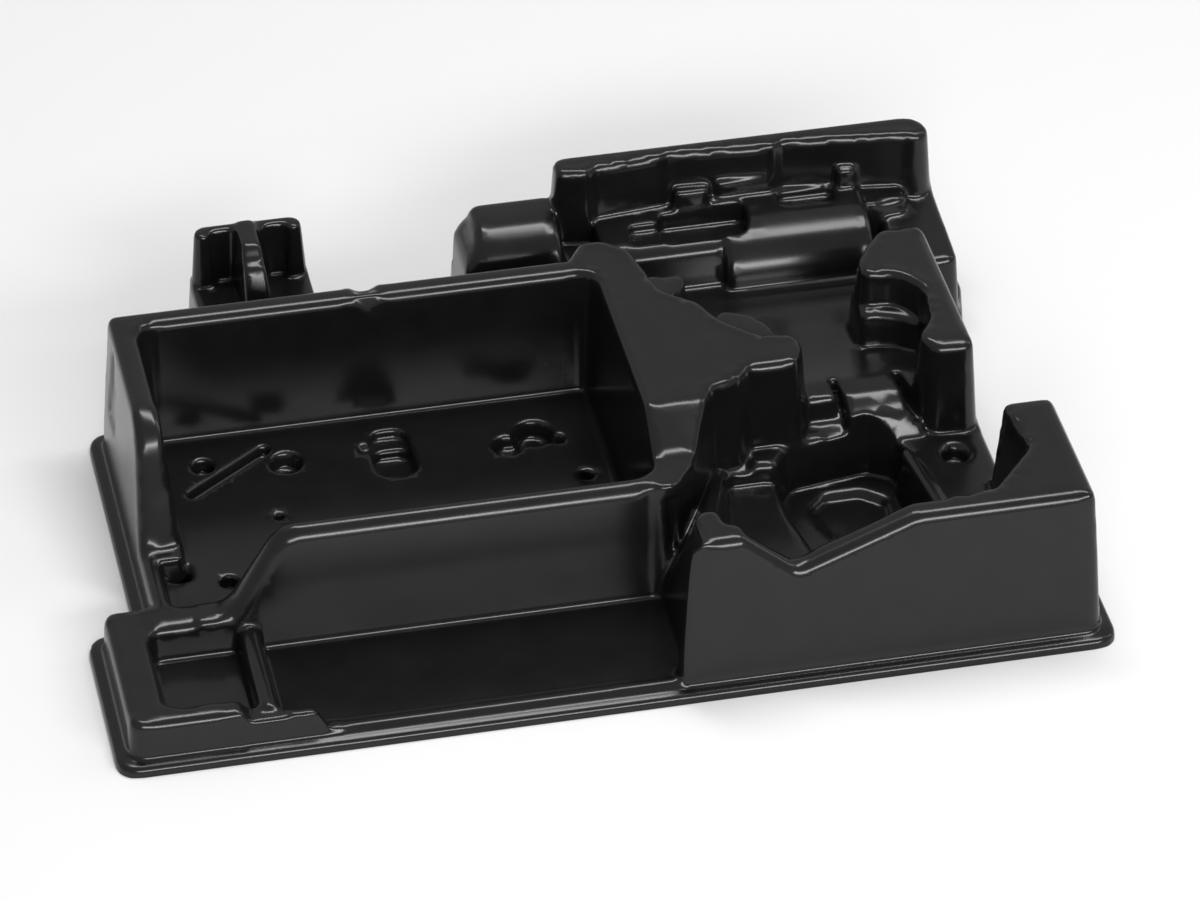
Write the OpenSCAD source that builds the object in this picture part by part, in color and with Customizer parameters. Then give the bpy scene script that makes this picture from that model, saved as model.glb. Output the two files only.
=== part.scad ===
// Moulded insert for a tool case.
// One thin plastic sheet, drawn over a mould, open below, with pockets that hold a tool and its bits.
// Every wall leans by the draft angle, and the underside follows the top at the sheet's thickness.

/* [Overall] */
// Length from left to right
length = 372; // [360:1:400]
// Depth from front to back
depth = 273; // [265:1:290]
// Height of the highest tops
height = 65; // [63:0.5:72]
// Thickness of the sheet
wall = 1.2; // [0.8:0.1:1.6]
// Lean of every wall, in degrees
draft = 4.2; // [3:0.1:5]

/* [Rim] */
// Height of the skirt and its ledge
rim_height = 4; // [3:0.5:5]
// Width of the ledge between the skirt and the walls
ledge = 5; // [4:0.5:6]
// Corner radius of the skirt
rim_corner = 8; // [6:0.5:10]
// How far the sides step in along their middle
side_step = 18.5; // [15:0.5:20]
// Distance from the front to the side steps
step_front = 81; // [79:1:84]
// Distance from the rear to the side steps
step_rear = 68; // [66:1:70]

/* [Levels] */
// Floor of the long bin
bin_floor = 12; // [10:0.5:14]
// Floor of the front trough
trough_floor = 5; // [4.5:0.5:6]
// Front lip of the trough
lip_top = 6.8; // [6.5:0.1:8]
// Top of the front left corner block
corner_top = 19; // [17:0.5:21]
// Top of the divider between the bin and the trough
divider_top = 53.5; // [50:0.5:56]
// Floor of the right pocket and of the low seat
pocket_floor = 26; // [25:0.5:28]
// Floor of the deep recess in the right pocket
recess_floor = 8; // [7:0.5:10]
// Shelf along the rear wall
rear_shelf = 43; // [41:0.5:45]
// Top of the small block left of the rear wall
rear_block_top = 48; // [46:0.5:50]
// Top of the rear left post
post_top = 54; // [52:0.5:56]

/* [Hidden] */

slope = tan(draft);
above = 4;
sheet_colour = [0.07, 0.07, 0.075];

// Places are given from two edges: front or rear, and left or right. The last value is a corner radius.
function fl(x, y, r = 2) = [x - length / 2, y, r];
function fr(x, y, r = 2) = [length / 2 - x, y, r];
function rl(x, y, r = 2) = [x - length / 2, depth - y, r];
function rr(x, y, r = 2) = [length / 2 - x, depth - y, r];

function flat(p) = [p.x, p.y];
function snap(v) = round(v * 10000) / 10000;
function unit(v) = v / norm(v);
function left_of(v) = [-v.y, v.x];
function cross2(a, b) = a.x * b.y - a.y * b.x;

function radius_of(p) = is_undef(p[2]) ? 0.3 : p[2];
function arc_steps(r) = r < 1.3 ? 1 : r < 4 ? 2 : r < 9 ? 3 : 5;

// One rounded corner at b, moved inwards by inset
function corner(a, b, c, inset) =
    let (
        steps = arc_steps(radius_of(b)),
        e1 = unit(flat(b) - flat(a)),
        e2 = unit(flat(c) - flat(b)),
        n1 = left_of(e1),
        n2 = left_of(e2),
        turn = cross2(e1, e2) >= 0 ? 1 : -1,
        half = acos(max(-1, min(1, e1 * e2))) / 2,
        tip = flat(b) + inset * (n1 + n2) / (1 + n1 * n2),
        radius = max(radius_of(b) - turn * inset, 0.25),
        centre = tip - e1 * radius * tan(half) + turn * n1 * radius,
        start = atan2(-turn * n1.y, -turn * n1.x)
    )
    [for (i = [0:steps])
        let (angle = start + turn * 2 * half * i / steps)
        [snap(centre.x + radius * cos(angle)), snap(centre.y + radius * sin(angle))]];

// A closed outline with round corners, moved inwards by inset
function outline(points, inset = 0) =
    let (n = len(points))
    [for (i = [0:n - 1])
        each corner(points[(i + n - 1) % n], points[i], points[(i + 1) % n], inset)];

// A solid between level outlines that have the same number of points
module stack(levels) {
    n = len(levels[0][1]);
    last = len(levels) - 1;
    points = [for (level = levels) for (p = level[1]) [p.x, p.y, snap(level[0])]];
    sides = [for (k = [0:last - 1]) for (i = [0:n - 1])
        [k * n + i, (k + 1) * n + i, (k + 1) * n + (i + 1) % n, k * n + (i + 1) % n]];
    bottom = [for (i = [0:n - 1]) i];
    top = [for (i = [n - 1:-1:0]) last * n + i];
    polyhedron(points = points, faces = concat([bottom, top], sides), convexity = 8);
}

// A block that stands on the ledge. Its outline is the one at the given level.
module block(points, top, t, level = rim_height) {
    stack([for (z = [-t, top - t]) [z, outline(points, t + slope * (z - level))]]);
}

// A pocket that is open above. Its outline is the one at the given level.
module pocket(points, floor, t, level = undef, mouth = undef) {
    base = is_undef(level) ? floor : level;
    high = is_undef(mouth) ? height + above : mouth + t;
    stack([for (z = [floor - t, high]) [z, outline(points, -t - slope * (z - base))]]);
}

// What lies under a line that is drawn seen from the front: x to the right, y up
module below_front_line(points, from, to, t) {
    translate([0, to, 0])
        rotate([90, 0, 0])
            linear_extrude(to - from)
                polygon(outline(points, t));
}

// What lies under a line that is drawn seen from the right: x to the rear, y up
module below_side_line(points, from, to, t) {
    translate([from, 0, 0])
        rotate([90, 0, 90])
            linear_extrude(to - from)
                polygon(outline(points, t));
}

// Skirt and ledge

rim_line = [
    fl(0, 0, rim_corner), fr(0, 0, rim_corner),
    fr(0, step_front, rim_corner), fr(side_step, step_front, 6),
    rr(side_step, step_rear, 6), rr(5.5, step_rear - 2, 5), rr(0, step_rear - 26, rim_corner),
    rr(0, 0, rim_corner), rl(61, 0, rim_corner),
    rl(61, step_rear, 6), rl(side_step, step_rear, rim_corner),
    fl(side_step, step_front, 6), fl(0, step_front, rim_corner)
];

module rim(t) {
    block(rim_line, rim_height, t, 0);
}

// Front body: corner block, low lip of the trough, post and notched front wall

front_end = step_front - ledge;
lip_step = corner_top - 4;
notch_floor = height - 16;
front_line = [
    fl(-20, -10), fr(-20, -10), fr(-20, height), fr(76, height, 6),
    fr(118, notch_floor, 6), fr(121.5, notch_floor, 6),
    fr(140.5, height, 2.5), fr(163, height, 1), fr(163, lip_top + 2.5, 0.5),
    fr(184, lip_top + 2.5, 1.2), fr(187, lip_top, 1.2),
    fl(78, lip_top, 2), fl(73.4, lip_step, 1.5), fl(64.5, lip_step, 1),
    fl(63, lip_step - 0.8, 1), fl(49.5, lip_step - 0.8, 1),
    fl(46.5, corner_top, 1.5), fl(-20, corner_top)
];

module front_body(t) {
    intersection() {
        block([
            fl(ledge, ledge, 6), fr(ledge, ledge, 6), fr(ledge, front_end, 6), fr(141, front_end, 1),
            fr(147, 42, 1), fr(147, 21, 1), fr(166, 21, 1), fr(166, front_end, 1), fl(ledge, front_end, 6)
        ], height + 6, t);
        below_front_line(front_line, -10, step_front, t);
    }
}

lean = slope * (height - rim_height);
post_line = [fr(170, -10), fr(130, -10), fr(130, height), fr(170, height)];

// Rear half of the post at the end of the trough
module front_post(t) {
    intersection() {
        block([
            fr(158.2, 12.9, 1), fr(139.6, 12.9, 1), fr(139.2, 22.2, 3),
            fr(145.1, 30, 3), fr(152.6, 29.8, 3), fr(158.2, 21.5, 5)
        ], height + 6, t, height);
        below_front_line(post_line, -10, step_front, t);
    }
}

trough_back = 58.4;
trough_line = [
    fl(21.5, 16.8, 3), fl(55, 15.5, 2), fl(67, 10.5, 3),
    fr(160.1, 10.5, 3), fr(160.1, trough_back, 3), fl(21.5, trough_back, 3)
];

module trough(t) {
    pocket(trough_line, trough_floor, t);
}

rib_width = 8.5;
rib_top = 16.2;

module rib(t) {
    radius = rib_width / 2 - t;
    place = fl(57.4, 0);
    hull() {
        for (y = [12 + t, trough_back + 3])
            translate([place.x, y, rib_top - rib_width / 2])
                rotate([90, 0, 0])
                    cylinder(r = radius, h = 0.5, $fn = 24);
        translate([place.x - radius - 0.6, 12 + t, -t])
            cube([2 * radius + 1.2, trough_back - 9, 0.5]);
    }
}

// Divider between the trough and the bin

divider_back = 73.9;
divider_line = [
    fl(10, -10, 0.5), fr(140, -10, 0.5), fr(140, divider_top, 0.5),
    fl(70.5, divider_top, 12), fl(51, corner_top + 1, 9), fl(40, corner_top + 1, 2),
    fl(36, corner_top - 1, 2), fl(10, corner_top - 1, 0.5)
];

module divider(t) {
    intersection() {
        block([fl(19, 50, 1), fr(160.6, 50, 1), fr(160.6, divider_back + 4, 1), fl(19, divider_back + 4, 1)],
            divider_top + 6, t);
        below_front_line(divider_line, 45, divider_back + 6, t);
    }
}

// Long bin: left wall, rear wall and the pocket itself

bin_rear = step_rear + ledge;
left_wall_line = [
    [depth, -10, 0.5], [depth, height, 0.5],
    [124.2, height, 18], [106.7, corner_top + 0.5, 6], [60, corner_top + 0.5, 0.5], [60, -10, 0.5]
];

module bin_block(t) {
    intersection() {
        block([
            fl(side_step + ledge, 62, 2), fr(150, 62, 2),
            rr(150, bin_rear, 2), rl(side_step + ledge, bin_rear, 6)
        ], height + 6, t);
        below_side_line(left_wall_line, -length / 2, length / 2, t);
    }
}

module bin(t) {
    pocket([
        fl(31.8, 73.3, 4), fr(162.3, 73.3, 3), rr(162.3, 91.1, 3), rl(41.5, 91.1, 2),
        fl(41.5, 110, 3), fl(31.8, 106, 4)
    ], bin_floor, t);
}

// Shallow groove over the rear wall, and a narrow recess in the outer left face
module wall_marks(t) {
    translate([rl(126, 0).x, depth - bin_rear - 14, height + 3.6])
        rotate([-90, 0, 0])
            cylinder(r = 6.2 + t, h = 30, $fn = 28);
    hull() {
        for (p = [[178, 58], [183, 29], [170, 29]])
            translate([fl(22.9 + slope * (p.y - rim_height) + t, 0).x - 3, p.x, p.y])
                rotate([0, 90, 0])
                    cylinder(r = 0.4 + t, h = 4.8, $fn = 12);
    }
}

// Ridge between the bin and the middle pocket, with its sloping spur

ridge_line = [
    fr(166, 62, 1), fr(155.5, 61, 2), fr(146, 74, 3), fr(139, 89, 3), rr(131.5, 170.5, 2),
    rr(121, 167.5, 2), rr(115.5, 161, 2), rr(96.4, 161, 2), rr(92, 151, 3), rr(93.5, 143, 3),
    rr(106.5, 140.5, 10), rr(118.5, 128, 10), rr(124, 115, 8), rr(136, 105, 8), rr(139, 91, 6),
    rr(142, 76, 5), rr(151, 67.7, 6), rr(160, 67.5, 4), rr(166, 77, 1)
];
spur_low = height - 11;
spur_line = [
    [-9, -10], [depth + 9, -10], [depth + 9, height], [96, height, 1], [78.5, spur_low, 1], [-9, spur_low]
];

module ridge(t) {
    intersection() {
        block(ridge_line, height + 6, t, height);
        below_side_line(spur_line, -length / 2, length / 2, t);
    }
}

// Two low crescents against the ridge
module ridge_steps(t) {
    block([rr(140, 98, 2), rr(132, 103, 2), rr(124, 93, 3), rr(124, 87, 3), rr(131.5, 88.5, 6),
        rr(139, 85, 3)],
        height - 6, t, height - 6);
    block([
        rr(120, 120, 2), rr(104, 134, 2), rr(97.5, 133, 2), rr(98.5, 125, 3),
        rr(104.5, 116.5, 6), rr(115, 111.5, 3)
    ], height - 8, t, height - 8);
}

// Slanting wall that falls from the front post to the floor of the right pocket
module slant(t) {
    low = -t;
    near = fr(153.5, 26);
    far = fr(130, 101);
    near_top = height - 3 - 1.5 * t;
    far_top = pocket_floor + 1 - 1.5 * t;
    hull() {
        for (p = [
            [fr(161.1 - 1.2 * t, 12), low], [fr(161.1 - 1.2 * t, 64), low], [fr(129 + t, 102 - t), low],
            [fr(143 + t, 26), low], [fr(124.5 + t, 101), low],
            [near + [1.2 * t, 0, 0], near_top], [near + [6 - 1.2 * t, 0, 0], near_top],
            [far + [1.2 * t, 0, 0], far_top], [far + [3.4 - 1.2 * t, 0, 0], far_top]
        ])
            translate([p[0].x, p[0].y, p[1]])
                cube([0.01, 0.01, 0.01]);
    }
}

// Small upright groove in the corner between the trough and the slanting wall
module corner_groove(t) {
    pocket([fr(156.5, 57, 1), fr(154, 57, 1), fr(154, 64.5, 1), fr(156.5, 64.5, 1)], 25, t, 25, 48);
}

// Low ground beside the trough and behind the pockets
module low_ground(t) {
    block([fr(172, 16, 1), fr(159.3, 16, 1), fr(159.3, 66, 1), fr(172, 66, 1)], rim_height + 5, t);
    block([rr(146, 66, 1), rr(24.5, 64, 1), rr(24.5, 14, 1), rr(146, 14, 1)], pocket_floor - 3, t);
}

// Ground under the right pocket and the low seat
module pocket_ground(t) {
    block([
        fr(142, 62, 2), fr(side_step + ledge, 62, 2), rr(side_step + ledge, 60, 2),
        rr(148, 60, 2), fr(131, 101, 2)
    ], pocket_floor, t);
}

module right_pocket(t) {
    pocket([
        fr(158, 15.8, 1), fr(121, 15.8, 4), fr(110, 17.8, 4), fr(93, 18.2, 4), fr(74, 20.3, 4),
        fr(45, 21, 6), fr(26, 43, 6), fr(28.5, 66, 3), fr(29, 100, 2), fr(158, 100, 2)
    ], pocket_floor, t, height, height + above);
}

bay_floor = pocket_floor - 6;

module left_bay(t) {
    pocket([
        fr(144, 22, 3), fr(101.5, 22, 4), fr(101.5, 53, 6),
        fr(105.5, 78, 6), fr(109, 98.8, 3), fr(125.6, 98.8, 2)
    ], bay_floor, t, pocket_floor);
}

module deep_recess(t) {
    pocket([
        fr(96, 24, 5), fr(58, 24, 5), fr(56, 98, 6), fr(60.7, 107, 5), fr(69, 112, 4),
        fr(99.6, 107, 4), fr(106, 98, 5), fr(105.8, 78, 10)
    ], recess_floor, t);
    pocket([
        fr(86, 62, 4), fr(68, 62, 4), fr(65.7, 95.2, 4), fr(73.7, 102, 4), fr(87.3, 101.7, 4), fr(94, 95, 4)
    ], recess_floor - 3, t);
}

slant_rib_top = 29;

module slant_rib(t) {
    block([fr(57.7, 20, 1), fr(50, 20, 1), fr(50.9, 65, 2), fr(55.2, 98, 2), fr(60, 98, 2), fr(56, 65, 1)],
        slant_rib_top, t, slant_rib_top);
}

// Step between the pocket and the ridge
module pocket_step(t) {
    top = pocket_floor + 2.5;
    block([fr(117, 120, 1), fr(117, 99.4, 2), fr(103, 98, 2), fr(86, 104, 2), fr(86, 120, 1)], top, t, top);
}

// Middle pocket: floor that rises to the front, a pad, and a bearing between two slots

bearing_top = pocket_floor + 14;
middle_line = [
    [depth + 9, -10], [depth + 9, pocket_floor - 3], [depth - 56, pocket_floor - 2], [131, bearing_top, 10],
    [121.5, bearing_top - 1, 2], [119.5, pocket_floor + 3, 2],
    [104, pocket_floor - 0.5, 2], [92, pocket_floor - 0.5], [92, -10]
];
bearing_line = [
    [150, -10], [150, bearing_top - 4], [131, bearing_top, 8], [121, bearing_top - 0.6, 1],
    [115.5, bearing_top - 4, 1], [112.5, bearing_top - 5, 1], [107, pocket_floor + 1], [104, -10]
];

module middle_ground(t) {
    intersection() {
        block([
            fr(101, 106, 2), fr(62, 106, 2), fr(50, 98, 2), fr(side_step + ledge + 0.6, 98, 2),
            rr(side_step + ledge + 0.6, 45, 2), rr(142, 45, 2), rr(142, 100, 2)
        ], bearing_top + 4, t);
        below_side_line(middle_line, -length / 2, length / 2, t);
    }
    intersection() {
        block([fr(74.5, 102, 1), fr(47, 102, 1), fr(54.5, 134, 1), fr(76.5, 134, 1)],
            bearing_top + 4, t, bearing_top);
        below_side_line(bearing_line, 0, length / 2, t);
    }
}

slot_floor = bearing_top - 9;

module slots(t) {
    pocket([fr(77.5, 106, 0.6), fr(75, 106, 0.6), fr(76.5, 132, 0.6), fr(79, 132, 0.6)],
        slot_floor, t, bearing_top - 2, bearing_top + 4);
    pocket([fr(50.2, 104, 1), fr(46.6, 104, 1), fr(51.5, 131, 1), fr(55.5, 133, 1)],
        slot_floor, t, bearing_top - 2, bearing_top + 4);
}

// Seat wall on the right, with two round seats

seat_line = [
    fr(42.5, 110, 2.5), fr(28.7, 109.4, 3), rr(28.7, 82.5, 6), rr(45.1, 82.3, 8),
    rr(53, 92, 10), rr(59.5, 103, 8),
    rr(58.5, 112, 3), rr(46, 112, 12), rr(38.5, 124, 10), fr(41, 130, 10), fr(49.5, 117.3, 6)
];
seat_front = [
    [96, -10, 0.3], [depth, -10, 0.3], [depth, height, 0.3], [106, height, 11],
    [103, bearing_top, 1], [101, bay_floor, 1]
];

seat_step = height - 14.5;

module seat_wall(t) {
    intersection() {
        block(seat_line, height + 6, t, height);
        below_side_line(seat_front, 0, length / 2, t);
    }
    block([
        fr(36, 140, 2), rr(36, 96, 2), rr(60, 96, 4), rr(61, 118, 2),
        rr(55, 118, 4), rr(47, 121, 6), rr(41, 127, 5)
    ], seat_step, t, seat_step);
}

// Rear wall, shelf and round bulge

module rear_wall(t) {
    block([
        rr(163.5 - lean, 21.4, 2), rr(156, 21, 2), rr(147.4, 22.6, 2), rr(144.5, 20.1, 1), rr(116.7, 17.2, 1),
        rr(113.7, 16, 1), rr(71.5, 19, 2), rr(69, 17, 2), rr(50.1, 18.6, 2), rr(20, 22.5, 4),
        rr(13, 25.6, 5), rr(ledge + lean + 0.5, 20, 6),
        rr(ledge + lean + 0.5, ledge + lean, 8.5), rr(163.5 - lean, ledge + lean, 4)
    ], height, t, height);
}

shelf_lines = [
    [
        [depth + 27, -10], [depth + 27, rear_shelf - 1], [depth - 42, rear_shelf - 1],
        [depth - 47, rear_shelf - 5], [depth - 54, rim_height + 6], [depth - 54, -10]
    ],
    [[depth + 27, -10], [depth + 27, rear_shelf + 1], [depth - 56, rear_shelf + 1, 21], [depth - 56, -10]]
];

module shelf(t) {
    intersection() {
        block([rr(148, 64, 4), rr(96, 64, 2), rr(96, 8, 2), rr(148, 8, 2)], rear_shelf + 6, t);
        below_side_line(shelf_lines[0], -length / 2, length / 2, t);
    }
    intersection() {
        block([rr(100, 64, 2), rr(36, 64, 2), rr(36, 8, 2), rr(100, 8, 2)], rear_shelf + 6, t);
        below_side_line(shelf_lines[1], 0, length / 2, t);
    }
    block([rr(38, 34, 2), rr(20.5, 33, 3), rr(20.5, 8, 2), rr(38, 8, 2)], rear_shelf - 1, t, rear_shelf);
    block([rr(163.5, 75, 2), rr(140, 75, 2), rr(140, 8, 2), rr(163.5, 8, 2)],
        rear_shelf - 10, t, rear_shelf - 10);
}

module shelf_recesses(t) {
    pocket([rr(121.5, 41.5, 3), rr(88, 41.5, 3), rr(86, 32, 3), rr(86, 24, 2), rr(119, 24, 2)],
        rear_shelf - 9, t, rear_shelf - 9, rear_shelf + 6);
    pocket([rr(134, 41, 2), rr(118, 41, 2), rr(118, 29, 2), rr(132, 29, 2)],
        rear_shelf - 5, t, rear_shelf - 5, rear_shelf + 6);
    pocket([rr(71, 30, 3), rr(49, 30, 3), rr(49, 21.5, 2), rr(71, 21.5, 2)],
        rear_shelf - 3, t, rear_shelf - 3, rear_shelf + 6);
}

module wall_strips(t) {
    for (strip = [[112, 98, 22.0, 49.8], [95, 72, 20.6, 51.3], [47, 40, 23.9, 52.3]])
        block([
            rr(strip[0], strip[2], 0.8), rr(strip[1], strip[2], 0.8), rr(strip[1], 8, 0.8),
            rr(strip[0], 8, 0.8)
        ],
            strip[3], t, strip[3]);
}

rear_corner_line = [
    [depth - 83, -10], [depth, -10], [depth, height - 7], [depth - 15, height - 7, 2],
    [depth - 19, rear_shelf - 5, 3], [depth - 62, pocket_floor + 4, 1], [depth - 83, pocket_floor + 3]
];

module rear_corner(t) {
    intersection() {
        block([
            rr(34, step_rear - ledge, 3), rr(ledge, step_rear - ledge, 6),
            rr(ledge, ledge + 2, 8), rr(34, ledge + 2, 3)
        ], height, t);
        below_side_line(rear_corner_line, 0, length / 2, t);
    }
}

// Small round block left of the rear wall
rear_block_front = [
    fl(240, -10, 1), fl(240, rear_block_top, 1), fl(180, rear_block_top, 4), fl(179, rear_block_top - 5, 2),
    fl(173.5, rear_block_top - 12, 3), fl(171, -10, 1)
];
rear_block_side = [
    [depth + 27, -10], [depth + 27, rear_block_top], [depth - 40, rear_block_top, 20], [depth - 40, -10]
];

module rear_block(t) {
    intersection() {
        block([rl(170.3, 75, 2), rl(215.5, 75, 2), rl(215.5, ledge + 0.7, 3), rl(170.3, ledge + 0.7, 6)],
            rear_block_top + 6, t);
        below_front_line(rear_block_front, depth - 83, depth, t);
        below_side_line(rear_block_side, -length / 2, length / 2, t);
    }
}

// Rear left post: a wall with two recesses and a rib that falls to the front

post_rib_line = [
    [depth + 9, -10], [depth + 9, post_top + 0.8], [depth - 29, post_top + 0.8, 3],
    [depth - 32.5, post_top - 4.5, 2], [depth - 36, post_top - 5, 3],
    [depth - 47, post_top - 24], [depth - 47, -10]
];

module rear_post(t) {
    block([rl(67, 75, 2), rl(117, 75, 2), rl(117, ledge, 6), rl(67, ledge, 6)], post_top - 24, t);
    difference() {
        block([rl(71, 17.4, 3), rl(113, 17.4, 3), rl(113, ledge + 4.6, 4.5), rl(71, ledge + 4.6, 4.5)],
            post_top - 1, t, post_top);
        for (x = [77.5, 98.5])
            pocket([rl(x, 60, 1), rl(x + 8, 60, 1), rl(x + 8, 15.5, 1.5), rl(x, 15.5, 1.5)],
                post_top - 24, t, post_top - 24, post_top + above);
    }
    intersection() {
        block([rl(87.3, 50, 2), rl(95, 50, 2), rl(95, ledge + 5.8, 2), rl(87.3, ledge + 5.8, 2)],
            post_top + 2, t, post_top);
        below_side_line(post_rib_line, -length / 2, length / 2, t);
    }
}

// Pits in the floor of the bin

module pit(x, y, r, deep, t) {
    place = rl(x, depth - y);
    translate([place.x, y, bin_floor - deep - t])
        cylinder(r1 = r - 0.8 + t, r2 = r + t + slope * t, h = deep + t + 0.01, $fn = 20);
}

module pits(t) {
    pit(57.6, 164.2, 4.5, 3, t);
    pit(88.8, 160.1, 6.5, 3.5, t);
    pit(184, 158.6, 8, 4, t);
    pit(173.2, 153.1, 6, 3, t);
    pit(192.6, 153.5, 3, 2.5, t);
    pit(198.7, 128.8, 3, 2.5, t);
    pit(80.4, 127.4, 2, 2, t);
    pit(120, 162, 3.5, 2.5, t);
    pit(55.6, 92.1, 3.5, 3, t);
    hull() {
        pit(51, 147.5, 2.3, 2.5, t);
        pit(82, 170, 2.3, 2.5, t);
    }
    translate([fr(39, 0).x, 95, pocket_floor - 3.5 - t])
        cylinder(r1 = 4.4 + t, r2 = 5.4 + t, h = 3.5 + t + 0.01, $fn = 20);
    pocket([fl(122, 144, 5), fl(137, 144, 5), fl(137, 172, 5), fl(122, 172, 5)],
        bin_floor - 4, t, bin_floor, bin_floor + 2);
    pocket([fl(34.5, 96, 2), fl(42.5, 96, 2), fl(42.5, 106, 2), fl(34.5, 106, 2)],
        bin_floor - 4, t, bin_floor, bin_floor + 2);
}

module form(t) {
    difference() {
        union() {
            rim(t);
            difference() {
                front_body(t);
                right_pocket(t);
            }
            front_post(t);
            slant(t);
            divider(t);
            bin_block(t);
            ridge(t);
            ridge_steps(t);
            low_ground(t);
            pocket_ground(t);
            pocket_step(t);
            middle_ground(t);
            seat_wall(t);
            rear_wall(t);
            wall_strips(t);
            shelf(t);
            rear_corner(t);
            rear_block(t);
            rear_post(t);
        }
        trough(t);
        bin(t);
        left_bay(t);
        deep_recess(t);
        shelf_recesses(t);
        corner_groove(t);
        slots(t);
        pits(t);
        wall_marks(t);
    }
    rib(t);
    slant_rib(t);
}

module insert() {
    color(sheet_colour)
        translate([0, -depth / 2, 0])
            difference() {
                form(0);
                form(wall);
            }
}

insert();
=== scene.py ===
import math

import bmesh
import bpy
import numpy as np
import openvdb
from mathutils import Matrix, Vector


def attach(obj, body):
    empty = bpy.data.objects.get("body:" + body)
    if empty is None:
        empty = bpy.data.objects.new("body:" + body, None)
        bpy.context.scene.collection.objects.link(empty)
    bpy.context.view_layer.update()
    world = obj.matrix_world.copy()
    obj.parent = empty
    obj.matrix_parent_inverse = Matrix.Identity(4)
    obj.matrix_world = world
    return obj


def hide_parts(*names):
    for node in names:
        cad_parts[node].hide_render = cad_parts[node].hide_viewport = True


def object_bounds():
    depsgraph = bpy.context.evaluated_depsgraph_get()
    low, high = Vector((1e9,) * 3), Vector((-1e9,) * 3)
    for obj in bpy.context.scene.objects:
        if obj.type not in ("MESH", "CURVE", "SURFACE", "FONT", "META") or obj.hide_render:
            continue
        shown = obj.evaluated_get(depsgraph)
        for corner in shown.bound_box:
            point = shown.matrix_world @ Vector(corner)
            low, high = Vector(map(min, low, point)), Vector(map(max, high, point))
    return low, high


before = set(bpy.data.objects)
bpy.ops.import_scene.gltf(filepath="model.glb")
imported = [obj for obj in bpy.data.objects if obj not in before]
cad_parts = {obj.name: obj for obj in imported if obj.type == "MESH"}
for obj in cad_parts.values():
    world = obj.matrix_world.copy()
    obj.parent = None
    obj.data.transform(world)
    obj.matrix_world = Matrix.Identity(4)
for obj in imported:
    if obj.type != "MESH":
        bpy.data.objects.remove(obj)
cad_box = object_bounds()


# Lengths in this script are millimetres until they reach Blender, which works in metres.
MM = 0.001

# Thickness of the moulded sheet
SHEET = 1.2
# Radius of the large outer edges, and width of the bell curve that then rounds every edge
LARGE_RADIUS = 2.6
BLUR = 0.95

# Grid of distances: its step
VOXEL = 0.72
# How far from the surface the grid of the sharp form and of its core reach, beyond the large radius
SHARP_MARGIN = 1.5
CORE_MARGIN = 2.4
# Value of the grid where it holds no distance
FAR_OUTSIDE = 3.0
# How freely flat parts of the upper and the lower side are merged into larger faces
TOP_MERGE = 0.06
UNDER_MERGE = 0.7

# The upper side of the CAD sheet is carried this far below the table before it is closed
BELOW_TABLE = 8
# Tolerances for joined points, for a face that looks down and for one that lies on the table
WELD = 0.0005
LOOKS_DOWN = -0.9
ON_TABLE = 0.01

# Places of the small forms are given from the front left corner of the skirt.
LEFT, FRONT = (side / MM for side in cad_box[0][:2])
BIN_FLOOR = 12
FOOT_TOP = 19.5
LEFT_WALL_TOP = 64
# How far round a form the grid is changed, and how deep a block is rooted below its foot
REACH = 12
ROOT = 4
# How much walls lean, as a share of their height
PIT_LEAN = 0.12
BLOCK_LEAN = 0.073
WALL_LEAN = 0.0734

# Pits in the floors: the point, line or outline round which each lies, its radius and its floor
PITS = [
    ([(57.6, 164.2)], 3.6, 6),
    ([(51.5, 147.8), (82, 170)], 1.9, 7.5),
    ([(88.8, 160.1)], 5, 5.5),
    ([(127, 149), (132, 149), (132, 159), (127, 159)], 4.7, 4),
    ([(184, 158.6)], 6.6, 4.5),
    ([(173.2, 153.1)], 4.8, 6.5),
    ([(192.6, 153.5)], 2.2, 7),
    ([(198.7, 128.8)], 2.2, 7),
    ([(80.4, 127.4)], 1.5, 8),
    ([(36.5, 98), (40.5, 98), (40.5, 104), (36.5, 104)], 1.6, 5),
    ([(55.6, 92.1)], 2.8, 6.5),
    ([(333, 95)], 4, 19.5),
]
# Narrow recess in the outer left wall
LEFT_RECESS = [(24, 171), (24, 181), (24, 176)]
LEFT_RECESS_RADIUS = 1.2
LEFT_RECESS_FLOOR = 30

# Walls with a larger radius along the front of their top, each with its outline seen from the front,
# its span, the level and the place of its foot, and the radius
FRONT_WALLS = [
    # Divider between the trough and the bin
    ([(0, -10), (240, -10), (240, 53.5), (77.4, 53.5), (71.4, 51.9), (67, 47.5),
      (53.6, 24.5), (50.3, 21.2), (45.8, 20), (0, 20)], (44, 211), 5, 58.4, 6),
    # Notched front wall
    ([(392, -10), (392, 65), (296, 65), (254, 49), (250.5, 49), (231.5, 65), (209, 65), (209, -10)],
     (209, 364), 4, 5, 4.5),
    # Corner block
    ([(-10, -10), (46.5, -10), (46.5, 19), (-10, 19)], (9, 46), 4, 5, 3.8),
]
# The larger radius grows over this length from the ends of a wall, from this share of itself
TAPER = 8
TAPER_START = 0.3

# Places where the edges stay crisp, as boxes from corner to corner, measured from the middle of the part
CRISP = [
    ((-150, -136, 6), (-104, -118, 17)),
    ((-200, -150, -20), (200, 150, 2.5)),
    ((-152, -60, 0), (22, 50, 14)),
    ((-130, 95, 20), (-60, 150, 60)),
    ((24, -112, 8), (62, -36, 62)),
    ((100, -38, 20), (142, 2, 46)),
    ((30, 92, 20), (152, 118, 58)),
    ((44, 2, 40), (90, 56, 60.5)),
    ((124, -116, 18), (140, -36, 33)),
]
CRISP_MARGIN = 3

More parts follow.
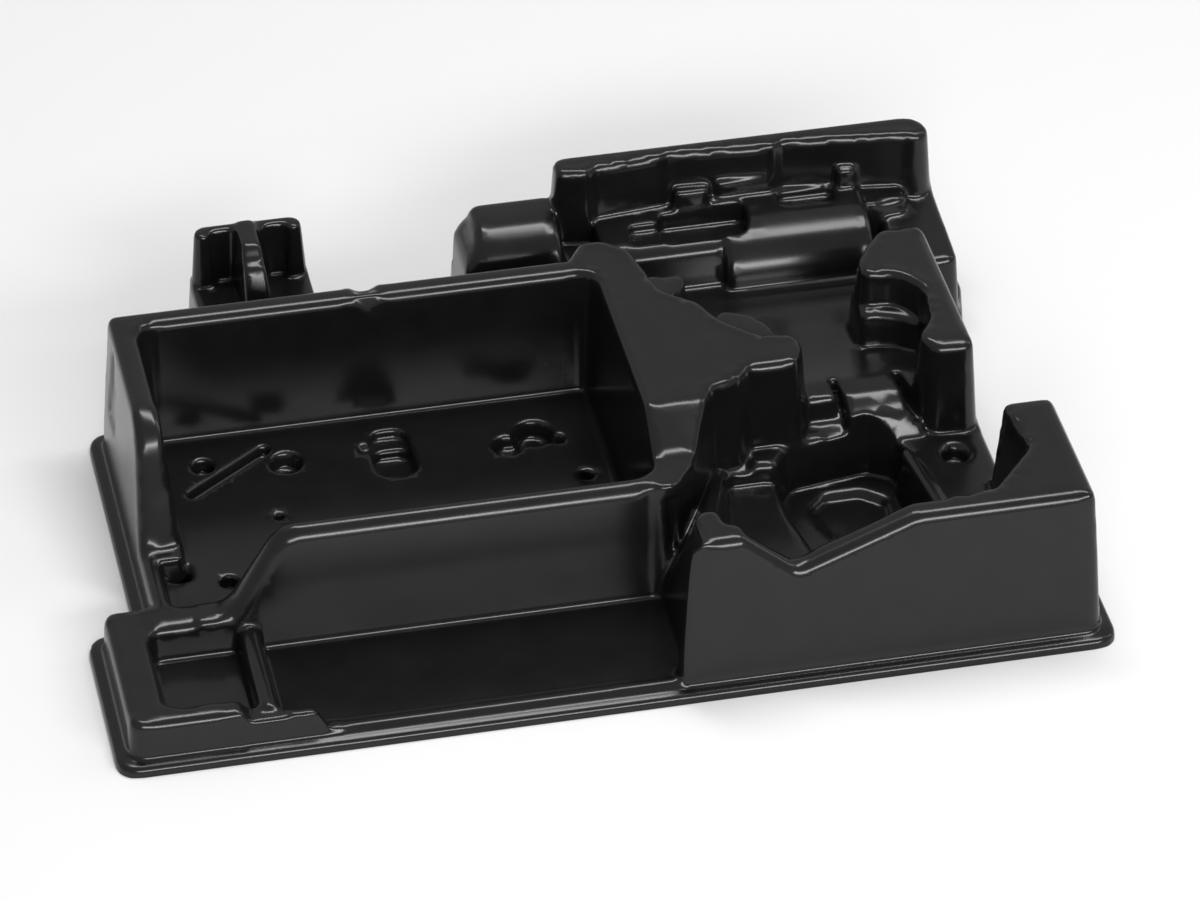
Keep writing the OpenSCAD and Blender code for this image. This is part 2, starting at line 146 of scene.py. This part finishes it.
# Black plastic: reflection, and the tints and roughnesses between which soft clouds vary
IOR = 1.5
SPECULAR = 0.36
TINTS = [(0.0044, 0.0044, 0.0046, 1), (0.0062, 0.0062, 0.0064, 1)]
ROUGHNESS = [0.19, 0.23]
# Noises: scale and detail
TINT_NOISE = (90, 4)
ROUGHNESS_NOISE = (35, 3)
GRAIN_NOISE = (900, 2)
WAVES_NOISE = (60, 1)
# Bumps: strength, and height in metres
GRAIN_BUMP = (0.25, 0.000012)
WAVES_BUMP = (0.3, 0.00008)

# Camera, from the vanishing lines of the photograph
PHOTO_WIDTH_PX = 1200
FOCAL_PX = 6372
AZIMUTH = -12.10
ELEVATION = 36.645
CAMERA_MM = (-386.2, -1892.2, 1456.2)
SENSOR = 36
SEES_TO_M = 20

# Studio, in metres and watts: grey surroundings, pale floor, and soft boxes with place, size and power
SURROUNDINGS = (0.46, 0.46, 0.46, 1)
FLOOR_COLOUR = (0.68, 0.68, 0.68, 1)
FLOOR_ROUGHNESS = 0.7
FLOOR_SPECULAR = 0.2
FLOOR_REACH_M = 6
SOFT_BOXES = [
    ("front_soft_box", (0.25, -1.5, 0.85), (1.6, 0.30), 27),
    ("top_soft_box", (0.25, 0.36, 1.75), (1.6, 0.34), 22),
    ("right_soft_box", (1.5, 0.1, 1.1), (0.3, 1.2), 3),
]


# Form of the sheet

def open_edges(mesh):
    return [edge for edge in mesh.edges if edge.is_boundary]


def outer_solid(source):
    """The upper side of the CAD sheet, carried down below the table and closed there."""
    solid = bmesh.new()
    solid.from_mesh(source)
    bmesh.ops.scale(solid, vec=(1 / MM,) * 3, verts=solid.verts)
    bmesh.ops.remove_doubles(solid, verts=solid.verts, dist=WELD)
    foot = [face for face in solid.faces
            if face.normal.z < LOOKS_DOWN and face.calc_center_median().z < ON_TABLE]
    bmesh.ops.delete(solid, geom=foot, context="FACES")
    reached = set()
    waiting = [max(solid.verts, key=lambda vert: vert.co.z)]
    while waiting:
        vert = waiting.pop()
        if vert not in reached:
            reached.add(vert)
            waiting += [edge.other_vert(vert) for edge in vert.link_edges]
    under = [vert for vert in solid.verts if vert not in reached]
    bmesh.ops.delete(solid, geom=under, context="VERTS")
    for made in bmesh.ops.extrude_edge_only(solid, edges=open_edges(solid))["geom"]:
        if isinstance(made, bmesh.types.BMVert):
            made.co.z = -BELOW_TABLE
    bmesh.ops.holes_fill(solid, edges=open_edges(solid), sides=0)
    bmesh.ops.triangulate(solid, faces=solid.faces)
    solid.verts.index_update()
    points = np.array([vert.co for vert in solid.verts], np.float32)
    triangles = np.array([[vert.index for vert in face.verts] for face in solid.faces], np.uint32)
    solid.free()
    no_quads = np.zeros((0, 4), np.uint32)
    return points, triangles, no_quads


def distance_grid(shell, reach, voxel):
    """Signed distances to a closed shell, as far from it as reach."""
    points, triangles, quads = shell
    return openvdb.FloatGrid.createLevelSetFromPolygons(
        points, triangles=triangles, quads=quads,
        transform=openvdb.createLinearTransform(voxelSize=voxel), halfWidth=reach / voxel + 1)


class Field:
    """Distances to a surface on a regular grid in millimetres, negative inside."""

    def __init__(self, low, shape, voxel):
        self.low = np.array(low)
        self.voxel = voxel
        self.values = np.zeros(shape, np.float32)

    def fill_from(self, grid):
        grid.copyToArray(self.values, ijk=tuple(int(v) for v in self.low))
        return self

    def axes(self):
        """Coordinates along each axis, shaped so that they combine into the whole grid."""
        x, y, z = ((low + np.arange(count)) * self.voxel for low, count in zip(self.low, self.values.shape))
        return x[:, None, None], y[None, :, None], z[None, None, :]

    def blur(self, sigma):
        """A bell-shaped average, which rounds every edge and keeps flat places where they are."""
        sigma = sigma / self.voxel
        reach = math.ceil(3 * sigma)
        weights = np.exp(-0.5 * (np.arange(-reach, reach + 1) / sigma) ** 2)
        weights = (weights / weights.sum()).astype(np.float32)
        for axis in range(3):
            margin = [(reach, reach) if k == axis else (0, 0) for k in range(3)]
            padded = np.pad(self.values, margin, mode="edge")
            total = np.zeros_like(self.values)
            for k, weight in enumerate(weights):
                part = [slice(None)] * 3
                part[axis] = slice(k, k + self.values.shape[axis])
                total += weight * padded[tuple(part)]
            self.values = total

    def polygons(self, level, merge):
        """Points, triangles and quads of the surface at a level."""
        grid = openvdb.FloatGrid(FAR_OUTSIDE)
        grid.copyFromArray(self.values, ijk=tuple(int(v) for v in self.low))
        grid.transform = openvdb.createLinearTransform(voxelSize=self.voxel)
        grid.gridClass = openvdb.GridClass.LEVEL_SET
        return grid.convertToPolygons(isovalue=level, adaptivity=merge)

    def at(self, places):
        """Values between the grid's points, at places counted in voxels."""
        base = np.floor(places).astype(int)
        base = np.clip(base, 0, np.array(self.values.shape) - 2)
        part = places - base
        total = np.zeros(len(places))
        for corner in np.ndindex(2, 2, 2):
            weight = np.prod(np.where(corner, part, 1 - part), axis=1)
            i, j, k = (base + corner).T
            total += weight * self.values[i, j, k]
        return total

    def normals(self, points):
        """The direction in which the distance grows, one voxel to each side."""
        places = points / self.voxel - self.low
        steps = np.eye(3)
        slope = np.stack([self.at(places + step) - self.at(places - step) for step in steps], axis=1)
        return slope / np.maximum(np.linalg.norm(slope, axis=1, keepdims=True), 1e-9)


def ramp(distance, width):
    """1 where the distance is negative, falling to 0 at the given width."""
    return np.clip(1 - distance / width, 0, 1)


def inside_box(axes, low, high, margin):
    """1 inside a box given by two corners, falling to 0 over the margin."""
    share = 1
    for axis, a, b in zip(axes, low, high):
        share = share * ramp(np.maximum(a - axis, axis - b), margin)
    return share


def large_share(axes):
    """How much of the large radius each place takes."""
    crisp = 0
    for low, high in CRISP:
        crisp = np.maximum(crisp, inside_box(axes, low, high, CRISP_MARGIN))
    return (1 - crisp).astype(np.float32)


def plan_distance(x, y, points):
    """Distance in plan to a point, a line or a closed outline, negative inside an outline."""
    nearest = np.full(np.broadcast(x, y).shape, np.inf)
    inside = np.zeros(nearest.shape, bool)
    for (ax, ay), (bx, by) in zip(points, points[1:] + points[:1]):
        ux, uy = bx - ax, by - ay
        along = np.clip(((x - ax) * ux + (y - ay) * uy) / max(ux * ux + uy * uy, 1e-9), 0, 1)
        nearest = np.minimum(nearest, np.hypot(x - ax - along * ux, y - ay - along * uy))
        if len(points) > 2 and uy != 0:
            inside ^= ((ay > y) != (by > y)) & (x < ux * (y - ay) / uy + ax)
    return np.where(inside, -nearest, nearest)


def window(field, points, margin):
    """The part of the grid round an outline, and its coordinates from the front left corner."""
    x, y, z = field.axes()
    x, y = x - LEFT, y - FRONT
    xs, ys = zip(*points)
    keep_x = (x.ravel() > min(xs) - margin) & (x.ravel() < max(xs) + margin)
    keep_y = (y.ravel() > min(ys) - margin) & (y.ravel() < max(ys) + margin)
    i, j = np.flatnonzero(keep_x), np.flatnonzero(keep_y)
    part = (slice(i[0], i[-1] + 1), slice(j[0], j[-1] + 1), slice(None))
    return part, x[part[0]], y[:, part[1]], z


def sink(field, points, radius, floor, lean=PIT_LEAN):
    """A pit with the given floor, whose walls open upwards."""
    part, x, y, z = window(field, points, radius + REACH)
    pit = np.maximum(plan_distance(x, y, points) - radius - lean * (z - floor), floor - z)
    field.values[part] = np.maximum(field.values[part], -pit)


def raise_block(field, points, radius, foot, top, lean=BLOCK_LEAN):
    """A block whose walls close upwards. Its top is a level or a function of x and y."""
    part, x, y, z = window(field, points, radius + REACH)
    level = top(x, y) if callable(top) else top
    block = np.maximum(plan_distance(x, y, points) - radius + lean * (z - foot), z - level)
    block = np.maximum(block, foot - ROOT - z)
    field.values[part] = np.minimum(field.values[part], block)


def left_wall_top(x, y):
    """The left wall's top falls steeply to its foot."""
    return np.clip(FOOT_TOP + (y - 106.7) * 2.6, FOOT_TOP, LEFT_WALL_TOP)


def round_front(field, outline, span, foot, front, radius):
    """A larger radius on the front edge of a wall's top."""
    low, high = span
    part, x, y, z = window(field, [(low, front - 3), (high, front + radius + 7)], 0)
    above = plan_distance(x, z, outline)
    ahead = front + WALL_LEAN * (z - foot) - y
    radius = radius * np.clip(np.minimum(x - low, high - x) / TAPER, TAPER_START, 1)
    corner = np.hypot(np.maximum(above + radius, 0), np.maximum(ahead + radius, 0)) - radius
    near = (above > -radius) & (ahead > -radius) & (above < 1) & (ahead < 1)
    field.values[part] = np.where(near, np.maximum(field.values[part], corner), field.values[part])


def small_forms(field):
    """Small forms of the mould that the CAD sheet leaves out or has more plainly."""
    for pit in PITS:
        sink(field, *pit)
    for wall in FRONT_WALLS:
        round_front(field, *wall)
    # Block at the foot of the left wall
    raise_block(field, [(31, 102), (38, 102), (38, 114), (31, 114)], 3, BIN_FLOOR, left_wall_top)
    # Straight edge of the front post
    raise_block(field, [(210.5, 8.5), (220, 8.5), (220, 12), (210.5, 12)], 3.3, 4, 65)
    # Fill of the small groove between the trough and the slanting wall
    raise_block(field, [(215.5, 64), (219, 64), (219, 68), (215.5, 68)], 1.5, 26, 51, 0)
    # Front half of the groove over the bin's rear wall
    raise_block(field, [(121, 187.2), (131, 187.2), (131, 189.5), (121, 189.5)], 0.6, 58, 65, 0)
    sink(field, LEFT_RECESS, LEFT_RECESS_RADIUS, LEFT_RECESS_FLOOR, 0)


def form_field(shell, voxel):
    """The form with its edges rounded, as a distance field."""
    sharp = distance_grid(shell, LARGE_RADIUS + SHARP_MARGIN, voxel)
    core = sharp.convertToPolygons(isovalue=-LARGE_RADIUS, adaptivity=0)
    core = distance_grid(core, LARGE_RADIUS + CORE_MARGIN, voxel)
    low, high = sharp.evalActiveVoxelBoundingBox()
    shape = np.array(high) - np.array(low) + 1
    field = Field(low, shape, voxel).fill_from(sharp)
    rounded = Field(low, shape, voxel).fill_from(core)
    deep = SHEET + 3 * BLUR
    change = np.clip(rounded.values - LARGE_RADIUS, -deep, deep) - np.clip(field.values, -deep, deep)
    field.values += large_share(field.axes()) * change
    small_forms(field)
    field.blur(BLUR)
    return field


def side_mesh(field, level, merge, flip):
    """One side of the sheet as a mesh that ends at the table."""
    points, triangles, quads = field.polygons(level, merge)
    side = bmesh.new()
    verts = [side.verts.new(point) for point in points.tolist()]
    for corners in triangles.tolist() + quads.tolist():
        corners = corners if flip else corners[::-1]
        try:
            side.faces.new([verts[i] for i in corners])
        except ValueError:
            # The same face twice, or a face with a repeated corner
            pass
    everything = side.verts[:] + side.edges[:] + side.faces[:]
    bmesh.ops.bisect_plane(side, geom=everything, dist=1e-4, plane_co=(0, 0, 0), plane_no=(0, 0, 1),
                           clear_inner=True)
    return side


def formed_sheet(node, voxel):
    """The CAD sheet with the round edges that a heated sheet takes over a mould, and its normals."""
    field = form_field(outer_solid(node.data), voxel)
    top = side_mesh(field, 0, TOP_MERGE, False)
    under = side_mesh(field, -SHEET, UNDER_MERGE, True)
    mesh = bpy.data.meshes.new("insert_sheet")
    under.to_mesh(mesh)
    top.from_mesh(mesh)
    bmesh.ops.triangle_fill(top, edges=open_edges(top), use_beauty=True, normal=(0, 0, -1))
    top.to_mesh(mesh)
    under.free()
    top.free()
    mesh.polygons.foreach_set("use_smooth", np.ones(len(mesh.polygons), bool))
    points = np.zeros(len(mesh.vertices) * 3, np.float32)
    mesh.vertices.foreach_get("co", points)
    points = points.reshape(-1, 3)
    normals = field.normals(points.astype(float))
    points = np.clip(points, *(np.array(cad_box) / MM))
    mesh.vertices.foreach_set("co", (points * MM).ravel())
    return mesh, normals


def set_normals(mesh, normals):
    """Top normals follow the distance field. The underside's are the same, turned round."""
    mesh.update()
    own = np.zeros(len(mesh.vertices) * 3, np.float32)
    mesh.vertex_normals.foreach_get("vector", own)
    own = own.reshape(-1, 3)
    sign = np.where((own * normals).sum(axis=1) < 0, -1, 1)[:, None]
    mesh.normals_split_custom_set_from_vertices((normals * sign).tolist())


# Material

def noise(nodes, links, place, scale, detail):
    texture = nodes.new("ShaderNodeTexNoise")
    texture.inputs["Scale"].default_value = scale
    texture.inputs["Detail"].default_value = detail
    links.new(place, texture.inputs["Vector"])
    return texture.outputs["Fac"]


def spread(nodes, links, factor, low, high):
    """The middle of a noise spread between two values."""
    fit = nodes.new("ShaderNodeMapRange")
    for name, value in (("From Min", 0.3), ("From Max", 0.7), ("To Min", low), ("To Max", high)):
        fit.inputs[name].default_value = value
    links.new(factor, fit.inputs["Value"])
    return fit.outputs["Result"]


def bump(nodes, links, height, strength, distance):
    node = nodes.new("ShaderNodeBump")
    node.inputs["Strength"].default_value = strength
    node.inputs["Distance"].default_value = distance
    links.new(height, node.inputs["Height"])
    return node


def plastic():
    """Glossy black sheet: cloudy gloss, a fine grain, and a slight waviness from the forming."""
    material = bpy.data.materials.new("black_plastic")
    material.use_nodes = True
    nodes, links = material.node_tree.nodes, material.node_tree.links
    shader = nodes["Principled BSDF"]
    shader.inputs["IOR"].default_value = IOR
    shader.inputs["Specular IOR Level"].default_value = SPECULAR
    place = nodes.new("ShaderNodeTexCoord").outputs["Object"]
    roughness = spread(nodes, links, noise(nodes, links, place, *ROUGHNESS_NOISE), *ROUGHNESS)
    links.new(roughness, shader.inputs["Roughness"])
    tint = nodes.new("ShaderNodeMix")
    tint.data_type = "RGBA"
    tint.inputs["A"].default_value, tint.inputs["B"].default_value = TINTS
    links.new(spread(nodes, links, noise(nodes, links, place, *TINT_NOISE), 0, 1), tint.inputs["Factor"])
    links.new(tint.outputs["Result"], shader.inputs["Base Color"])
    grain = bump(nodes, links, noise(nodes, links, place, *GRAIN_NOISE), *GRAIN_BUMP)
    waves = bump(nodes, links, noise(nodes, links, place, *WAVES_NOISE), *WAVES_BUMP)
    links.new(grain.outputs["Normal"], waves.inputs["Normal"])
    links.new(waves.outputs["Normal"], shader.inputs["Normal"])
    return material


# Studio

def link(name, data):
    piece = bpy.data.objects.new(name, data)
    bpy.context.scene.collection.objects.link(piece)
    return piece


def camera():
    data = bpy.data.cameras.new("camera")
    data.sensor_width = SENSOR
    data.lens = FOCAL_PX * SENSOR / PHOTO_WIDTH_PX
    data.clip_end = SEES_TO_M
    piece = link("camera", data)
    heading = Matrix.Rotation(math.radians(AZIMUTH), 4, "Z")
    tilt = Matrix.Rotation(math.radians(90 - ELEVATION), 4, "X")
    piece.matrix_world = Matrix.Translation(Vector(CAMERA_MM) * MM) @ heading @ tilt
    bpy.context.scene.camera = piece


def soft_box(name, place, size, power):
    """A rectangular light that faces the part."""
    data = bpy.data.lights.new(name, "AREA")
    data.shape = "RECTANGLE"
    data.size, data.size_y = size
    data.energy = power
    piece = link(name, data)
    piece.location = place
    piece.rotation_euler = (-Vector(place)).to_track_quat("-Z", "Y").to_euler()


def surroundings():
    world = bpy.data.worlds.new("studio")
    bpy.context.scene.world = world
    world.use_nodes = True
    world.node_tree.nodes["Background"].inputs["Color"].default_value = SURROUNDINGS


def floor():
    data = bpy.data.meshes.new("floor")
    corners = [(x * FLOOR_REACH_M, y * FLOOR_REACH_M, 0) for x, y in ((-1, -1), (1, -1), (1, 1), (-1, 1))]
    data.from_pydata(corners, [], [(0, 1, 2, 3)])
    piece = link("floor", data)
    material = bpy.data.materials.new("floor")
    material.use_nodes = True
    shader = material.node_tree.nodes["Principled BSDF"]
    shader.inputs["Base Color"].default_value = FLOOR_COLOUR
    shader.inputs["Roughness"].default_value = FLOOR_ROUGHNESS
    shader.inputs["Specular IOR Level"].default_value = FLOOR_SPECULAR
    data.materials.append(material)


mesh, normals = formed_sheet(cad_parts["insert"], VOXEL)
set_normals(mesh, normals)
mesh.materials.append(plastic())
sheet = link("sheet", mesh)
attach(sheet, "root")
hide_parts("insert")

camera()
surroundings()
floor()
for box in SOFT_BOXES:
    soft_box(*box)

bpy.context.scene.view_settings.view_transform = "Standard"
